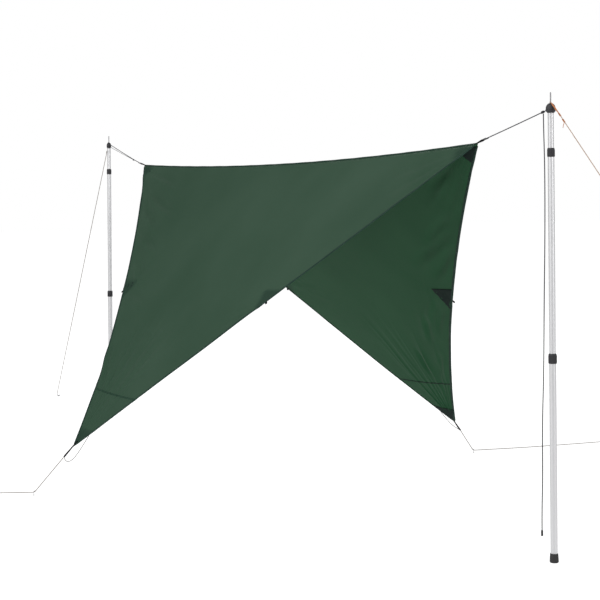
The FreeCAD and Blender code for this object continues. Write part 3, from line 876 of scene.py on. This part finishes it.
def roundRod(name, points, diameter, material, sides=10):
    # a mesh tube through points, its section carried along without twisting
    rings = []
    lastSide = None
    for i, point in enumerate(points):
        along = (points[min(i + 1, len(points) - 1)] - points[max(i - 1, 0)]).normalized()
        if lastSide is None:
            side = along.cross(Vector((0.31, 0.77, 0.55))).normalized()
        else:
            side = (lastSide - along * lastSide.dot(along)).normalized()
        lastSide = side
        other = along.cross(side)
        other = along.cross(side)
        ring = []
        for j in range(sides):
            angle = math.tau * j / sides
            ring.append(point + (side * math.cos(angle) + other * math.sin(angle)) * (diameter / 2))
        rings.append(ring)
    return strip(name, rings, material)


def joinMeshes(name, pieces):
    # one mesh from several
    tidy = bmesh.new()
    for piece in pieces:
        tidy.from_mesh(piece.data)
    mesh = bpy.data.meshes.new(name)
    tidy.to_mesh(mesh)
    tidy.free()
    mesh.polygons.foreach_set("use_smooth", [True] * len(mesh.polygons))
    for material in pieces[0].data.materials:
        mesh.materials.append(material)
    whole = bpy.data.objects.new(name, mesh)
    bpy.context.collection.objects.link(whole)
    for piece in pieces:
        bpy.data.objects.remove(piece)
    return whole


span = 2.789
headSideNear = Vector((span - 0.0230, 0.060, 2.0705))
pullNear = (strapEndNear - headSideNear).normalized()
lineEndNear = strapEndNear - pullNear * 0.028
lockNear = headSideNear + pullNear * 0.028
headSideFar = Vector((-span + 0.0167, 0.060, 2.085))
lugEnd = Vector((-span + 0.0265, 0.060, 2.064))
joinFar = Vector((-2.282, 0.060, 1.954))
pullFar = (strapEndFar - joinFar).normalized()
lineEndFar = strapEndFar - pullFar * 0.028
lockFar = joinFar - pullFar * 0.012
tailTop = lockNear + pullNear * 0.011 + Vector((0.006, 0, -0.0065))
guyTop = Vector((2.8058, 0.0570, 2.0969))
guyEnd = Vector((4.474, 0.410, 0.022))
guyWay = (guyEnd - guyTop).normalized()
farGuyTop = Vector((-span - 0.0187, 0.060, 2.070))
farGuyEnd = Vector((-4.040, 0.060, 0.022))
farWay = (farGuyEnd - farGuyTop).normalized()


def between(start, end, drop):
    return start.lerp(end, 0.5) - Vector((0, 0, drop))


cordRoutes = {
    "nearHeadLine": {"node": "near_head_line", "thick": 0.005, "finish": greyCord,
                     "points": [headSideNear, between(headSideNear, lineEndNear, 0.002), lineEndNear]},
    "farHeadLine": {"node": "far_head_line", "thick": 0.005, "finish": greyCord,
                    "points": [headSideFar, joinFar, lineEndFar]},
    "farSecondLine": {"node": "far_second_line", "thick": 0.003, "finish": greyCord,
                      "points": [lugEnd, between(lugEnd, joinFar, 0.001),
                                 joinFar + (lugEnd - joinFar) * 0.06]},
    "nearLineTail": {"node": "near_line_tail", "thick": 0.005, "finish": greyCord, "end": "fitting",
                     "lay": "hanging", "with": ["tail_stopper"], "points": [
                         tailTop, tailTop + Vector((0.001, 0, -0.074)), Vector((2.742, 0.060, 1.795)),
                         Vector((2.736, 0.062, 1.480)), Vector((2.731, 0.058, 1.180)),
                         Vector((2.721, 0.061, 0.880)), Vector((2.708, 0.059, 0.600)),
                         Vector((2.705, 0.062, 0.380)), Vector((2.699, 0.060, 0.205)),
                         Vector((2.698, 0.061, 0.130))]},
    "nearGuyline": {"node": "near_guyline", "thick": 0.004, "finish": brownCord,
                    "points": [Vector((2.7903, 0.0536, 2.1037)), Vector((2.7982, 0.0552, 2.1029)), guyTop,
                               guyTop + guyWay * 0.024, guyEnd]},
    "farGuyline": {"node": "far_guyline", "thick": 0.004, "finish": paleCord,
                   "points": [farGuyTop, between(farGuyTop, farGuyEnd, 0.003), farGuyEnd]},
    "nearTipLine": {"node": "near_tip_line", "thick": 0.004, "finish": paleCord,
                    "points": [tipNear, Vector((0.0531, -1.4793, 0.040)), Vector((0.045, -1.496, 0.018)),
                               Vector((0.0316, -1.514, 0.0168)), Vector((-0.084, -1.668, 0.009)),
                               Vector((-0.112, -1.705, 0.009))]},
    "farTipLine": {"node": "far_tip_line", "thick": 0.004, "finish": paleCord,
                   "points": [tipFar, Vector((0.1131, 1.4243, 0.045)), Vector((0.112, 1.446, 0.016)),
                              Vector((0.116, 1.476, 0.0152)), Vector((0.176, 1.930, 0.008)),
                              Vector((0.240, 2.445, 0.010))]},
    "nearTipLoop": {"node": "near_tip_loop", "thick": 0.003, "finish": loopCord, "lay": "loose",
                    "points": [tipNear + Vector((0.009, 0, 0.003)), Vector((0.140, -1.344, 0.190)),
                               Vector((0.170, -1.322, 0.196)), Vector((0.184, -1.284, 0.240)),
                               wingPoint("near", 1.0, 0.955, -0.003, False)]},
    "farTipLoop": {"node": "far_tip_loop", "thick": 0.003, "finish": loopCord, "lay": "loose",
                   "points": [tipFar + Vector((-0.009, 0, 0.003)), Vector((0.092, 1.344, 0.160)),
                              Vector((0.066, 1.326, 0.176)), Vector((0.044, 1.300, 0.206)),
                              wingPoint("far", 0.0, 0.962, -0.003, False)]},
}


def wrapKnot(name, start, along, thick, turns, length, finish, tailWay=None):
    # a few turns of the cord's own thickness round the line, with or without a short free end
    points = helixPoints(start, along, thick * 0.70, turns, length)
    if tailWay is not None:
        end = points[-1]
        points += [end + tailWay * 0.006, end + tailWay * 0.014 + Vector((0, 0, -0.003)),
                   end + tailWay * 0.021 + Vector((0, 0, -0.009))]
    return roundRod(name, points, thick * 0.75, finish)


# the near guyline is doubled between the head and its first knot
aside = Vector((0, -0.0040, 0))
secondStrand = [guyTop + Vector((-0.003, -0.0038, 0.002)), guyTop + guyWay * 0.008 + aside,
                guyTop + guyWay * 0.040 + aside, guyTop + guyWay * 0.062]
sleeve = [guyTop + guyWay * reach for reach in (0.001, 0.030, 0.060)]
nearKnots = joinMeshes("nearGuyKnots", [
    wrapKnot("knotA", guyTop + guyWay * 0.060, guyWay, 0.004, 4, 0.017, orangeCord),
    wrapKnot("knotB", guyTop + guyWay * 0.095, guyWay, 0.004, 4, 0.019, orangeCord, Vector((-0.5, 0, -0.75))),
    roundRod("strand", secondStrand, 0.0038, orangeCord), roundRod("sleeve", sleeve, 0.0046, orangeCord)])
farKnots = wrapKnot("farGuyKnots", farGuyTop + farWay * 0.040, farWay, 0.004, 4, 0.020, paleCord)
lockWraps = wrapKnot("nearLineLock", lockNear, pullNear, 0.0058, 3.5, 0.020, greyCord)
farLockWraps = wrapKnot("farLineLock", lockFar, pullFar, 0.0048, 4, 0.018, greyCord)
settle(nearKnots, "guy_cord", "guy_tensioners")
settle(farKnots, "guy_cord")
settle(lockWraps, "black_cord", "line_locks")
settle(farLockWraps, "black_cord")

for name, route in cordRoutes.items():
    piece = cordPiece(name, route["points"], route["thick"], route["finish"])
    settle(piece, "black_cord" if route["finish"] is greyCord else "guy_cord", route["node"])
    length = splineLength(piece)
    print("  %s %.3f m" % (name, length))
print("cords made")

# pegs of bent steel wire above the ground: where each stands, the way its hook faces, and the line's height
pegWire = 0.0052
pegs = {
    "nearGuy": (Vector((4.474, 0.410, 0)), Vector((-1.668, -0.353, 0)), 0.022),
    "farGuy": (Vector((-4.040, 0.060, 0)), Vector((0.47, 0.88, 0)), 0.022),
    "nearTip": (Vector((0.045, -1.496, 0)), Vector((0.3, 1, 0)), 0.018),
    "nearEnd": (Vector((-0.112, -1.705, 0)), Vector((0.6, 1, 0)), 0.009),
    "farTip": (Vector((0.112, 1.446, 0)), Vector((0, -1, 0)), 0.016),
    "farEnd": (Vector((0.240, 2.445, 0)), Vector((-0.1, -1, 0)), 0.010),
}
smallPegs = ("nearTip", "farTip")
openHook = {"bend": 0.012, "low": 0.012, "tip": 0.006}
upright = Vector((0, 0, 1))
hookSteps = 11


def closedHook(base, out, height, bend):
    # up beside the line, over it and a little way down again
    stand = base - out * bend
    level = height + 0.0032 + bend * 0.1  # where the hook's arc begins
    points = [stand + upright * mixValue(0.0012, level, i / 4) for i in range(5)]
    centre = stand + upright * level + out * bend
    for i in range(1, hookSteps + 1):
        angle = math.pi - math.pi * i / hookSteps
        points.append(centre + out * (bend * math.cos(angle)) + upright * (bend * math.sin(angle)))
    return points + [points[-1] - upright * 0.004], stand


def openedHook(base, out, height, wire):
    # down from the line, round along the ground and up again
    bend, low = openHook["bend"], openHook["low"]
    stand = base + out * bend
    points = [base + upright * mixValue(height + 0.003, low, i / 4) for i in range(5)]
    for i in range(1, hookSteps + 1):
        angle = math.pi + math.pi * i / hookSteps
        points.append(stand + upright * low + out * (bend * math.cos(angle))
                      + upright * ((low - wire) * math.sin(angle)))
    return points + [points[-1] + upright * openHook["tip"]], stand


pegPieces = []
for name, (base, way, height) in pegs.items():
    bend, wire = (0.0040, pegWire * 0.5) if name in smallPegs else (0.0088, pegWire)
    if name == "farGuy":
        points, stand = openedHook(base, way.normalized(), height, wire)
    else:
        points, stand = closedHook(base, way.normalized(), height, bend)
    plate = [stand + upright * level for level in (0.0002, 0.0006, 0.0020)]
    pegPieces.append(roundRod("peg" + name, points, wire, platedSteel, 12))
    pegPieces.append(roundRod("plate" + name, plate, wire * 3.4, platedSteel, 24))
settle(joinMeshes("groundPegs", pegPieces), "steel", "ground_pegs")


def ribTree(place, height):
    # upright ribs round a circle, at a place and height
    tree, start, end = newGroup(
        "gripRibs", [("Ribs", "NodeSocketInt", None), ("Radius", "NodeSocketFloat", None),
                     ("Tall", "NodeSocketFloat", None)],
        [("Geometry", "NodeSocketGeometry")], "GeometryNodeTree")
    circle, rib, spread, whole, move, paint = newNodes(
        tree, "GeometryNodeMeshCircle", "GeometryNodeMeshCylinder", "GeometryNodeInstanceOnPoints",
        "GeometryNodeRealizeInstances", "GeometryNodeTransform", "GeometryNodeSetMaterial")
    rib.inputs["Vertices"].default_value = 8
    rib.inputs["Radius"].default_value = 0.0009
    move.inputs["Translation"].default_value = (*place, height)
    paint.inputs["Material"].default_value = charcoal
    linkAll(tree, (start.outputs["Ribs"], circle.inputs["Vertices"]),
            (start.outputs["Radius"], circle.inputs["Radius"]), (start.outputs["Tall"], rib.inputs["Depth"]),
            (circle.outputs["Mesh"], spread.inputs["Points"]),
            (rib.outputs["Mesh"], spread.inputs["Instance"]),
            (spread.outputs["Instances"], whole.inputs["Geometry"]),
            (whole.outputs["Geometry"], move.inputs["Geometry"]),
            (move.outputs["Geometry"], paint.inputs["Geometry"]), (paint.outputs["Geometry"], end.inputs[0]))
    return tree


def ribRing(name, place, low, high, radius, count, body):
    tree = ribTree(place, (low + high) / 2)
    piece = useTree(keepMesh(name, [(0, 0, 0)], [], charcoal), tree,
                    {"Ribs": count, "Radius": radius, "Tall": high - low})
    settle(piece, "charcoal_plastic", body=body)


def roundBand(name, place, outline, finish, slot, body="shelter", sides=48):
    # a turned ring from an outline of (radius, height), closed into itself
    vertices = []
    for i in range(sides):
        angle = math.tau * i / sides
        for radius, height in outline:
            vertices.append((place[0] + radius * math.cos(angle), place[1] + radius * math.sin(angle),
                             height))
    faces = gridFaces(sides, len(outline), True, True)
    settle(faceOutward(keepMesh(name, vertices, faces, finish)), slot, body=body)


collars = {
    "lower": {"low": 0.909, "tall": 0.046, "radius": 0.0190, "ribs": 28},
    "upper": {"low": 1.854, "tall": 0.041, "radius": 0.0170, "ribs": 24},
}
headRadius = {"near": 0.0228, "far": 0.0175}
for side, x in (("near", span), ("far", -span)):
    place = (x, 0.060)
    for level, collar in collars.items():
        name = side + level.title()
        body = "%s_%s_twist" % (side, level)
        low, r = collar["low"], collar["radius"]
        ribRing(name + "Grip", place, low + 0.006, low + collar["tall"] - 0.009, r, collar["ribs"], body)
        rim = [(r - 0.0004, low + 0.0026), (r + 0.0010, low + 0.0030), (r + 0.0010, low + 0.0048),
               (r - 0.0004, low + 0.0052)]
        roundBand(name + "Rim", place, rim, charcoal, "charcoal_plastic", body)
    # a groove ring round the head where its two halves meet, and a washer under the spike
    r = headRadius[side]
    ring = [(r - 0.0006, 2.0690), (r + 0.0008, 2.0694), (r + 0.0008, 2.0712), (r - 0.0006, 2.0716)]
    washer = [(0.0031, 2.1010), (0.0041, 2.1010), (0.0043, 2.1016), (0.0040, 2.1024), (0.0031, 2.1026)]
    roundBand(side + "HeadRing", place, ring, charcoal, "charcoal_plastic")
    roundBand(side + "SpikeWasher", place, washer, platedSteel, "steel")
print("pole details made")


def stitchTree():
    # short threads set end to end along a line
    tree, start, end = newGroup(
        "stitchRun", [("Geometry", "NodeSocketGeometry", None), ("Pitch", "NodeSocketFloat", None),
                      ("Thread", "NodeSocketFloat", None), ("Finish", "NodeSocketMaterial", None)],
        [("Geometry", "NodeSocketGeometry")], "GeometryNodeTree")
    line, even, tangent, turn, thread, spread, whole, paint, long = newNodes(
        tree, "GeometryNodeMeshToCurve", "GeometryNodeResampleCurve", "GeometryNodeInputTangent",
        "FunctionNodeAlignEulerToVector", "GeometryNodeMeshCylinder", "GeometryNodeInstanceOnPoints",
        "GeometryNodeRealizeInstances", "GeometryNodeSetMaterial", "ShaderNodeMath")
    even.mode = "LENGTH"
    turn.axis = "Z"
    thread.inputs["Vertices"].default_value = 5
    long.operation = "MULTIPLY"
    long.inputs[1].default_value = 0.62
    linkAll(tree, (start.outputs["Geometry"], line.inputs[0]), (line.outputs[0], even.inputs[0]),
            (start.outputs["Pitch"], even.inputs["Length"]), (tangent.outputs[0], turn.inputs["Vector"]),
            (start.outputs["Pitch"], long.inputs[0]), (long.outputs[0], thread.inputs["Depth"]),
            (start.outputs["Thread"], thread.inputs["Radius"]), (even.outputs[0], spread.inputs["Points"]),
            (thread.outputs["Mesh"], spread.inputs["Instance"]), (turn.outputs[0], spread.inputs["Rotation"]),
            (spread.outputs[0], whole.inputs[0]), (whole.outputs[0], paint.inputs["Geometry"]),
            (start.outputs["Finish"], paint.inputs["Material"]), (paint.outputs[0], end.inputs[0]))
    return tree


stitchNodes = stitchTree()
stitches = {"thread": 0.00042, "edgePitch": 0.0075, "seamPitch": 0.0055, "edgeSteps": 160, "seamSteps": 80}


def stitchLines(name, lines, pitch):
    # one mesh of stitches along several lines of points
    vertices, edges = [], []
    for line in lines:
        base = len(vertices)
        vertices += [tuple(p) for p in line]
        edges += [(base + i, base + i + 1) for i in range(len(line) - 1)]
    mesh = bpy.data.meshes.new(name)
    mesh.from_pydata(vertices, edges, [])
    piece = bpy.data.objects.new(name, mesh)
    bpy.context.collection.objects.link(piece)
    useTree(piece, stitchNodes, {"Pitch": pitch, "Thread": stitches["thread"], "Finish": threadBlack})
    settle(piece, "binding")


edgeLift = canopy["lift"] + binding["swell"] + binding["thick"] + 0.0002
seamLift = canopy["lift"] + seamStrip["gap"] + seamStrip["thick"] + 0.0001
for side in wings:
    lines = []
    for edge, way in ((0.0, 1.0), (1.0, -1.0)):
        line = []
        for i in range(stitches["edgeSteps"]):
            down = mixValue(0.010, 0.972, i / (stitches["edgeSteps"] - 1))
            along = edge + way * edgeShare(binding["width"], down) * 0.82
            line.append(wingPoint(side, along, down, edgeLift))
        lines.append(line)
    stitchLines(side + "EdgeStitches", lines, stitches["edgePitch"])
    rows = []
    for offset in (-0.0018, 0.0018):
        alongs = [0.01 + 0.98 * i / stitches["seamSteps"] for i in range(stitches["seamSteps"] + 1)]
        rows.append([wingPoint(side, along, seamPlace(side, along) + offset, seamLift) for along in alongs])
    stitchLines(side + "SeamStitches", rows, stitches["seamPitch"])
print("stitches made")

floorMaterial, _, floorShader, _ = startMaterial("paleFloor")
floorShader.inputs["Base Color"].default_value = (0.20, 0.20, 0.20, 1)
floorShader.inputs["Roughness"].default_value = 0.95
floorShader.inputs["Specular IOR Level"].default_value = 0.0
floorShader.inputs["Emission Color"].default_value = (1, 1, 1, 1)
floorShader.inputs["Emission Strength"].default_value = 0.93
floorHalf, floorLevel = 60, -0.0005
floorCorners = [(x * floorHalf, y * floorHalf, floorLevel) for x, y in ((-1, -1), (1, -1), (1, 1), (-1, 1))]
keepMesh("floor", floorCorners, [(0, 1, 2, 3)], floorMaterial)

world = bpy.data.worlds.new("studio")
bpy.context.scene.world = world
world.use_nodes = True
worldTree = world.node_tree
backdrop = worldTree.nodes["Background"]
backdrop.inputs["Color"].default_value = (1, 1, 1, 1)
# the room round the shelter: lighter and darker upright stretches, which the poles mirror
room = {"lobes": 3, "turn": 0.7, "dark": 0.22, "light": 1.0}
skyPlace, seen, rays, choose = newNodes(worldTree, "ShaderNodeTexCoord", "ShaderNodeBackground",
                                        "ShaderNodeLightPath", "ShaderNodeMixShader")
sky = splitVector(worldTree, skyPlace.outputs["Generated"])
bearing = mathNode(worldTree, "ARCTAN2", sky[1], sky[0])
turned = mathNode(worldTree, "ADD", mathNode(worldTree, "MULTIPLY", bearing, room["lobes"]), room["turn"])
halfSwing = (room["light"] - room["dark"]) / 2
wave = mathNode(worldTree, "MULTIPLY", mathNode(worldTree, "SINE", turned), halfSwing)
strength = mathNode(worldTree, "ADD", wave, (room["light"] + room["dark"]) / 2)
seen.inputs["Color"].default_value = (1, 1, 1, 1)
seen.inputs["Strength"].default_value = 1.0
linkAll(worldTree, (strength, backdrop.inputs["Strength"]), (rays.outputs["Is Camera Ray"], choose.inputs[0]),
        (backdrop.outputs[0], choose.inputs[1]), (seen.outputs[0], choose.inputs[2]),
        (choose.outputs[0], worldTree.nodes["World Output"].inputs["Surface"]))


def areaLight(name, place, target, size, power):
    data = bpy.data.lights.new(name, "AREA")
    data.shape = "RECTANGLE"
    data.size, data.size_y = size
    data.energy = power
    lamp = bpy.data.objects.new(name, data)
    lamp.location = place
    lamp.rotation_euler = (Vector(target) - Vector(place)).to_track_quat("-Z", "Y").to_euler()
    bpy.context.collection.objects.link(lamp)


areaLight("keyLight", (3.5, -8.0, 7.5), (0, 0, 1.0), (4.0, 4.0), 900)
areaLight("fillLight", (9.0, 3.0, 4.0), (1.0, 0.5, 1.0), (3.0, 5.0), 170)
areaLight("backLight", (-6.0, 6.0, 7.0), (0, 0, 1.2), (5.0, 5.0), 700)

viewPoint = {"place": (8.534, -4.303, 1.698), "heading": 2.652, "roll": 0.0079,
             "sensor": 36.0, "lens": 93.48, "shift": -0.178333}
cameraData = bpy.data.cameras.new("mainView")
cameraData.sensor_width = viewPoint["sensor"]
cameraData.lens = viewPoint["lens"]
cameraData.shift_y = viewPoint["shift"]
cameraData.clip_end = 200
camera = bpy.data.objects.new("mainView", cameraData)
bpy.context.collection.objects.link(camera)
ahead = Vector((math.cos(viewPoint["heading"]), math.sin(viewPoint["heading"]), 0))
right = Vector((math.sin(viewPoint["heading"]), -math.cos(viewPoint["heading"]), 0))
upward = Vector((0, 0, 1))
turnBy = viewPoint["roll"]
cameraRight = right * math.cos(turnBy) - upward * math.sin(turnBy)
cameraUp = upward * math.cos(turnBy) + right * math.sin(turnBy)
axes = Matrix((cameraRight, cameraUp, -ahead)).transposed().to_4x4()
axes.translation = Vector(viewPoint["place"])
camera.matrix_world = axes
bpy.context.scene.camera = camera
bpy.context.scene.view_settings.view_transform = "Standard"
print("floor, light and camera set")
